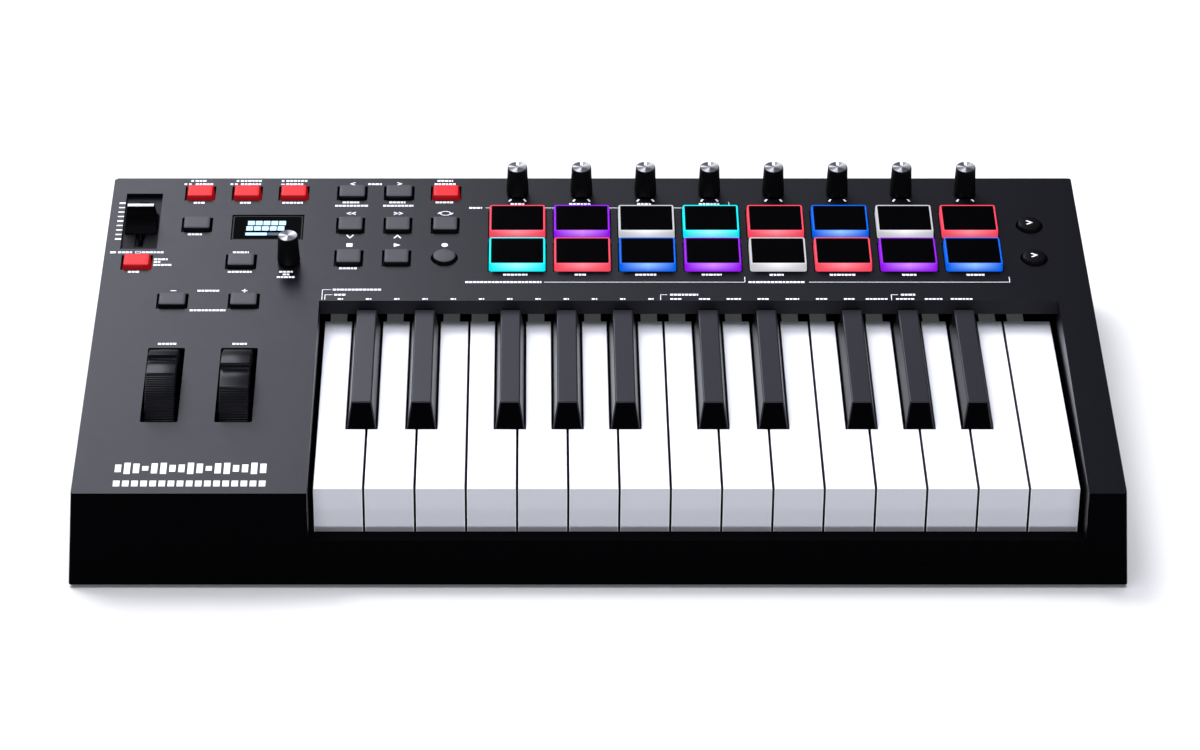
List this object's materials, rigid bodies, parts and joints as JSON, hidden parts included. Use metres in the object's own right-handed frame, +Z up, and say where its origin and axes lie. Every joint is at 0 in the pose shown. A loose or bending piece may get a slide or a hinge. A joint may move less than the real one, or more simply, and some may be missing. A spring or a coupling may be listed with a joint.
{
  "type": "midi keyboard",
  "caption": "Wedge-shaped desktop controller with piano-style keys in a well, two rows of lit drum pads, turning knobs, a short fader, two thumb wheels, small buttons and a display.",
  "frame": {"origin": "middle of the footprint, on the surface that it stands on", "axes": "+X to the player's right along the keys, +Y away from the player, +Z up"},
  "size_m": [0.488, 0.256, 0.0849],
  "materials": {
    "panel_plastic": "fine matte moulded charcoal plastic",
    "case_plastic": "fine matte moulded black plastic",
    "frame_plastic": "plain moulded grey plastic",
    "circuit_board": "solder-masked circuit board with its soldered parts",
    "display_lens": "smoked clear acrylic over a lit graphic",
    "display_graphic": "lit pixels",
    "key_white": "semi-gloss moulded white plastic",
    "key_black": "satin top, glossy sides, moulded black plastic",
    "silicone_grey": "matte silicone",
    "silicone_red": "lit translucent red silicone",
    "silicone_black": "matte silicone",
    "knob_black": "soft-touch black plastic",
    "knob_silver": "turned aluminium disc",
    "wheel_rubber": "satin black elastomer",
    "print_white": "screen-printed white ink",
    "pad_red": "lit translucent silicone with a glossy black top",
    "pad_purple": "lit translucent silicone with a glossy black top",
    "pad_white": "lit translucent silicone with a glossy black top",
    "pad_cyan": "lit translucent silicone with a glossy black top",
    "pad_blue": "lit translucent silicone with a glossy black top",
    "pad_top": "gloss black film",
    "foot_rubber": "black rubber",
    "screw_steel": "black-zinc steel",
    "socket_metal": "nickel-plated steel",
    "socket_plastic": "black moulded plastic"
  },
  "bodies": {
    "root": {"top_panel": "panel_plastic", "bottom_case": "case_plastic", "keybed_frame": "frame_plastic", "panel_board": "circuit_board", "rear_sockets": "socket_plastic"},
    "white_key_01": {"white_key_01": "key_white"},
    "white_key_02": {"white_key_02": "key_white"},
    "white_key_03": {"white_key_03": "key_white"},
    "white_key_04": {"white_key_04": "key_white"},
    "white_key_05": {"white_key_05": "key_white"},
    "white_key_06": {"white_key_06": "key_white"},
    "white_key_07": {"white_key_07": "key_white"},
    "white_key_08": {"white_key_08": "key_white"},
    "white_key_09": {"white_key_09": "key_white"},
    "white_key_10": {"white_key_10": "key_white"},
    "white_key_11": {"white_key_11": "key_white"},
    "white_key_12": {"white_key_12": "key_white"},
    "white_key_13": {"white_key_13": "key_white"},
    "white_key_14": {"white_key_14": "key_white"},
    "white_key_15": {"white_key_15": "key_white"},
    "black_key_01": {"black_key_01": "key_black"},
    "black_key_02": {"black_key_02": "key_black"},
    "black_key_03": {"black_key_03": "key_black"},
    "black_key_04": {"black_key_04": "key_black"},
    "black_key_05": {"black_key_05": "key_black"},
    "black_key_06": {"black_key_06": "key_black"},
    "black_key_07": {"black_key_07": "key_black"},
    "black_key_08": {"black_key_08": "key_black"},
    "black_key_09": {"black_key_09": "key_black"},
    "black_key_10": {"black_key_10": "key_black"},
    "pad_01": {"pad_01": "pad_red"},
    "pad_02": {"pad_02": "pad_purple"},
    "pad_03": {"pad_03": "pad_white"},
    "pad_04": {"pad_04": "pad_cyan"},
    "pad_05": {"pad_05": "pad_red"},
    "pad_06": {"pad_06": "pad_blue"},
    "pad_07": {"pad_07": "pad_white"},
    "pad_08": {"pad_08": "pad_red"},
    "pad_09": {"pad_09": "pad_cyan"},
    "pad_10": {"pad_10": "pad_red"},
    "pad_11": {"pad_11": "pad_blue"},
    "pad_12": {"pad_12": "pad_purple"},
    "pad_13": {"pad_13": "pad_white"},
    "pad_14": {"pad_14": "pad_red"},
    "pad_15": {"pad_15": "pad_purple"},
    "pad_16": {"pad_16": "pad_blue"},
    "knob_01": {"knob_01": "knob_black"},
    "knob_02": {"knob_02": "knob_black"},
    "knob_03": {"knob_03": "knob_black"},
    "knob_04": {"knob_04": "knob_black"},
    "knob_05": {"knob_05": "knob_black"},
    "knob_06": {"knob_06": "knob_black"},
    "knob_07": {"knob_07": "knob_black"},
    "knob_08": {"knob_08": "knob_black"},
    "encoder_knob": {"encoder_knob": "knob_black"},
    "fader_cap": {"fader_cap": "knob_black"},
    "pitch_wheel": {"pitch_wheel": "wheel_rubber"},
    "mod_wheel": {"mod_wheel": "wheel_rubber"},
    "control_keypad": {"control_keypad": "silicone_grey"},
    "scene_keypad": {"scene_keypad": "silicone_black"}
  },
  "joints": [
    {"name": "white_key_01_press", "type": "hinge", "parent": "root", "child": "white_key_01", "pos_m": [-0.1195, 0.052, 0.0395], "axis": [1, 0, 0], "range_deg": [0, 3.5], "stiffness_Nm_per_rad": 0.3, "springref_deg": -20.05},
    {"name": "white_key_02_press", "type": "hinge", "parent": "root", "child": "white_key_02", "pos_m": [-0.096, 0.052, 0.0395], "axis": [1, 0, 0], "range_deg": [0, 3.5], "stiffness_Nm_per_rad": 0.3, "springref_deg": -20.05},
    {"name": "white_key_03_press", "type": "hinge", "parent": "root", "child": "white_key_03", "pos_m": [-0.0725, 0.052, 0.0395], "axis": [1, 0, 0], "range_deg": [0, 3.5], "stiffness_Nm_per_rad": 0.3, "springref_deg": -20.05},
    {"name": "white_key_04_press", "type": "hinge", "parent": "root", "child": "white_key_04", "pos_m": [-0.049, 0.052, 0.0395], "axis": [1, 0, 0], "range_deg": [0, 3.5], "stiffness_Nm_per_rad": 0.3, "springref_deg": -20.05},
    {"name": "white_key_05_press", "type": "hinge", "parent": "root", "child": "white_key_05", "pos_m": [-0.0255, 0.052, 0.0395], "axis": [1, 0, 0], "range_deg": [0, 3.5], "stiffness_Nm_per_rad": 0.3, "springref_deg": -20.05},
    {"name": "white_key_06_press", "type": "hinge", "parent": "root", "child": "white_key_06", "pos_m": [-0.002, 0.052, 0.0395], "axis": [1, 0, 0], "range_deg": [0, 3.5], "stiffness_Nm_per_rad": 0.3, "springref_deg": -20.05},
    {"name": "white_key_07_press", "type": "hinge", "parent": "root", "child": "white_key_07", "pos_m": [0.0215, 0.052, 0.0395], "axis": [1, 0, 0], "range_deg": [0, 3.5], "stiffness_Nm_per_rad": 0.3, "springref_deg": -20.05},
    {"name": "white_key_08_press", "type": "hinge", "parent": "root", "child": "white_key_08", "pos_m": [0.045, 0.052, 0.0395], "axis": [1, 0, 0], "range_deg": [0, 3.5], "stiffness_Nm_per_rad": 0.3, "springref_deg": -20.05},
    {"name": "white_key_09_press", "type": "hinge", "parent": "root", "child": "white_key_09", "pos_m": [0.0685, 0.052, 0.0395], "axis": [1, 0, 0], "range_deg": [0, 3.5], "stiffness_Nm_per_rad": 0.3, "springref_deg": -20.05},
    {"name": "white_key_10_press", "type": "hinge", "parent": "root", "child": "white_key_10", "pos_m": [0.092, 0.052, 0.0395], "axis": [1, 0, 0], "range_deg": [0, 3.5], "stiffness_Nm_per_rad": 0.3, "springref_deg": -20.05},
    {"name": "white_key_11_press", "type": "hinge", "parent": "root", "child": "white_key_11", "pos_m": [0.1155, 0.052, 0.0395], "axis": [1, 0, 0], "range_deg": [0, 3.5], "stiffness_Nm_per_rad": 0.3, "springref_deg": -20.05},
    {"name": "white_key_12_press", "type": "hinge", "parent": "root", "child": "white_key_12", "pos_m": [0.139, 0.052, 0.0395], "axis": [1, 0, 0], "range_deg": [0, 3.5], "stiffness_Nm_per_rad": 0.3, "springref_deg": -20.05},
    {"name": "white_key_13_press", "type": "hinge", "parent": "root", "child": "white_key_13", "pos_m": [0.1625, 0.052, 0.0395], "axis": [1, 0, 0], "range_deg": [0, 3.5], "stiffness_Nm_per_rad": 0.3, "springref_deg": -20.05},
    {"name": "white_key_14_press", "type": "hinge", "parent": "root", "child": "white_key_14", "pos_m": [0.186, 0.052, 0.0395], "axis": [1, 0, 0], "range_deg": [0, 3.5], "stiffness_Nm_per_rad": 0.3, "springref_deg": -20.05},
    {"name": "white_key_15_press", "type": "hinge", "parent": "root", "child": "white_key_15", "pos_m": [0.2095, 0.052, 0.0395], "axis": [1, 0, 0], "range_deg": [0, 3.5], "stiffness_Nm_per_rad": 0.3, "springref_deg": -20.05},
    {"name": "black_key_01_press", "type": "hinge", "parent": "root", "child": "black_key_01", "pos_m": [-0.1101, 0.052, 0.0395], "axis": [1, 0, 0], "range_deg": [0, 4.5], "stiffness_Nm_per_rad": 0.3, "springref_deg": -20.05},
    {"name": "black_key_02_press", "type": "hinge", "parent": "root", "child": "black_key_02", "pos_m": [-0.08213, 0.052, 0.0395], "axis": [1, 0, 0], "range_deg": [0, 4.5], "stiffness_Nm_per_rad": 0.3, "springref_deg": -20.05},
    {"name": "black_key_03_press", "type": "hinge", "parent": "root", "child": "black_key_03", "pos_m": [-0.04077, 0.052, 0.0395], "axis": [1, 0, 0], "range_deg": [0, 4.5], "stiffness_Nm_per_rad": 0.3, "springref_deg": -20.05},
    {"name": "black_key_04_press", "type": "hinge", "parent": "root", "child": "black_key_04", "pos_m": [-0.01375, 0.052, 0.0395], "axis": [1, 0, 0], "range_deg": [0, 4.5], "stiffness_Nm_per_rad": 0.3, "springref_deg": -20.05},
    {"name": "black_key_05_press", "type": "hinge", "parent": "root", "child": "black_key_05", "pos_m": [0.01328, 0.052, 0.0395], "axis": [1, 0, 0], "range_deg": [0, 4.5], "stiffness_Nm_per_rad": 0.3, "springref_deg": -20.05},
    {"name": "black_key_06_press", "type": "hinge", "parent": "root", "child": "black_key_06", "pos_m": [0.0544, 0.052, 0.0395], "axis": [1, 0, 0], "range_deg": [0, 4.5], "stiffness_Nm_per_rad": 0.3, "springref_deg": -20.05},
    {"name": "black_key_07_press", "type": "hinge", "parent": "root", "child": "black_key_07", "pos_m": [0.08236, 0.052, 0.0395], "axis": [1, 0, 0], "range_deg": [0, 4.5], "stiffness_Nm_per_rad": 0.3, "springref_deg": -20.05},
    {"name": "black_key_08_press", "type": "hinge", "parent": "root", "child": "black_key_08", "pos_m": [0.12373, 0.052, 0.0395], "axis": [1, 0, 0], "range_deg": [0, 4.5], "stiffness_Nm_per_rad": 0.3, "springref_deg": -20.05},
    {"name": "black_key_09_press", "type": "hinge", "parent": "root", "child": "black_key_09", "pos_m": [0.15075, 0.052, 0.0395], "axis": [1, 0, 0], "range_deg": [0, 4.5], "stiffness_Nm_per_rad": 0.3, "springref_deg": -20.05},
    {"name": "black_key_10_press", "type": "hinge", "parent": "root", "child": "black_key_10", "pos_m": [0.17777, 0.052, 0.0395], "axis": [1, 0, 0], "range_deg": [0, 4.5], "stiffness_Nm_per_rad": 0.3, "springref_deg": -20.05},
    {"name": "pad_01_press", "type": "slide", "parent": "root", "child": "pad_01", "axis": [0, 0.0725, -0.9974], "range_m": [0, 0.0008], "stiffness_N_per_m": 300, "springref_m": -0.002},
    {"name": "pad_02_press", "type": "slide", "parent": "root", "child": "pad_02", "axis": [0, 0.0725, -0.9974], "range_m": [0, 0.0008], "stiffness_N_per_m": 300, "springref_m": -0.002},
    {"name": "pad_03_press", "type": "slide", "parent": "root", "child": "pad_03", "axis": [0, 0.0725, -0.9974], "range_m": [0, 0.0008], "stiffness_N_per_m": 300, "springref_m": -0.002},
    {"name": "pad_04_press", "type": "slide", "parent": "root", "child": "pad_04", "axis": [0, 0.0725, -0.9974], "range_m": [0, 0.0008], "stiffness_N_per_m": 300, "springref_m": -0.002},
    {"name": "pad_05_press", "type": "slide", "parent": "root", "child": "pad_05", "axis": [0, 0.0725, -0.9974], "range_m": [0, 0.0008], "stiffness_N_per_m": 300, "springref_m": -0.002},
    {"name": "pad_06_press", "type": "slide", "parent": "root", "child": "pad_06", "axis": [0, 0.0725, -0.9974], "range_m": [0, 0.0008], "stiffness_N_per_m": 300, "springref_m": -0.002},
    {"name": "pad_07_press", "type": "slide", "parent": "root", "child": "pad_07", "axis": [0, 0.0725, -0.9974], "range_m": [0, 0.0008], "stiffness_N_per_m": 300, "springref_m": -0.002},
    {"name": "pad_08_press", "type": "slide", "parent": "root", "child": "pad_08", "axis": [0, 0.0725, -0.9974], "range_m": [0, 0.0008], "stiffness_N_per_m": 300, "springref_m": -0.002},
    {"name": "pad_09_press", "type": "slide", "parent": "root", "child": "pad_09", "axis": [0, 0.0725, -0.9974], "range_m": [0, 0.0008], "stiffness_N_per_m": 300, "springref_m": -0.002},
    {"name": "pad_10_press", "type": "slide", "parent": "root", "child": "pad_10", "axis": [0, 0.0725, -0.9974], "range_m": [0, 0.0008], "stiffness_N_per_m": 300, "springref_m": -0.002},
    {"name": "pad_11_press", "type": "slide", "parent": "root", "child": "pad_11", "axis": [0, 0.0725, -0.9974], "range_m": [0, 0.0008], "stiffness_N_per_m": 300, "springref_m": -0.002},
    {"name": "pad_12_press", "type": "slide", "parent": "root", "child": "pad_12", "axis": [0, 0.0725, -0.9974], "range_m": [0, 0.0008], "stiffness_N_per_m": 300, "springref_m": -0.002},
    {"name": "pad_13_press", "type": "slide", "parent": "root", "child": "pad_13", "axis": [0, 0.0725, -0.9974], "range_m": [0, 0.0008], "stiffness_N_per_m": 300, "springref_m": -0.002},
    {"name": "pad_14_press", "type": "slide", "parent": "root", "child": "pad_14", "axis": [0, 0.0725, -0.9974], "range_m": [0, 0.0008], "stiffness_N_per_m": 300, "springref_m": -0.002},
    {"name": "pad_15_press", "type": "slide", "parent": "root", "child": "pad_15", "axis": [0, 0.0725, -0.9974], "range_m": [0, 0.0008], "stiffness_N_per_m": 300, "springref_m": -0.002},
    {"name": "pad_16_press", "type": "slide", "parent": "root", "child": "pad_16", "axis": [0, 0.0725, -0.9974], "range_m": [0, 0.0008], "stiffness_N_per_m": 300, "springref_m": -0.002},
    {"name": "knob_01_turn", "type": "hinge", "parent": "root", "child": "knob_01", "pos_m": [-0.0377, 0.11442, 0.07691], "axis": [0, -0.0725, 0.9974], "range_deg": [-145, 145]},
    {"name": "knob_02_turn", "type": "hinge", "parent": "root", "child": "knob_02", "pos_m": [-0.0059, 0.11442, 0.07691], "axis": [0, -0.0725, 0.9974], "range_deg": [-145, 145]},
    {"name": "knob_03_turn", "type": "hinge", "parent": "root", "child": "knob_03", "pos_m": [0.0259, 0.11442, 0.07691], "axis": [0, -0.0725, 0.9974], "range_deg": [-145, 145]},
    {"name": "knob_04_turn", "type": "hinge", "parent": "root", "child": "knob_04", "pos_m": [0.0577, 0.11442, 0.07691], "axis": [0, -0.0725, 0.9974], "range_deg": [-145, 145]},
    {"name": "knob_05_turn", "type": "hinge", "parent": "root", "child": "knob_05", "pos_m": [0.0895, 0.11442, 0.07691], "axis": [0, -0.0725, 0.9974], "range_deg": [-145, 145]},
    {"name": "knob_06_turn", "type": "hinge", "parent": "root", "child": "knob_06", "pos_m": [0.1213, 0.11442, 0.07691], "axis": [0, -0.0725, 0.9974], "range_deg": [-145, 145]},
    {"name": "knob_07_turn", "type": "hinge", "parent": "root", "child": "knob_07", "pos_m": [0.1531, 0.11442, 0.07691], "axis": [0, -0.0725, 0.9974], "range_deg": [-145, 145]},
    {"name": "knob_08_turn", "type": "hinge", "parent": "root", "child": "knob_08", "pos_m": [0.1849, 0.11442, 0.07691], "axis": [0, -0.0725, 0.9974], "range_deg": [-145, 145]},
    {"name": "encoder_turn", "type": "hinge", "parent": "root", "child": "encoder_knob", "pos_m": [-0.1491, 0.05542, 0.07261], "axis": [0, -0.0725, 0.9974], "continuous": true},
    {"name": "fader_slide", "type": "slide", "parent": "root", "child": "fader_cap", "axis": [0, 0.9974, 0.0725], "range_m": [-0.015, 0.015]},
    {"name": "pitch_wheel_bend", "type": "hinge", "parent": "root", "child": "pitch_wheel", "pos_m": [-0.204, -0.04243, 0.03993], "axis": [1, 0, 0], "range_deg": [-28, 28], "stiffness_Nm_per_rad": 0.06},
    {"name": "mod_wheel_turn", "type": "hinge", "parent": "root", "child": "mod_wheel", "pos_m": [-0.1694, -0.04243, 0.03993], "axis": [-1, 0, 0], "range_deg": [0, 44]},
    {"name": "control_keypad_press", "type": "slide", "parent": "root", "child": "control_keypad", "axis": [0, 0.0725, -0.9974], "range_m": [0, 0.0008], "stiffness_N_per_m": 800, "springref_m": -0.003},
    {"name": "scene_keypad_press", "type": "slide", "parent": "root", "child": "scene_keypad", "axis": [0, 0.0725, -0.9974], "range_m": [0, 0.0008], "stiffness_N_per_m": 300, "springref_m": -0.002}
  ]
}
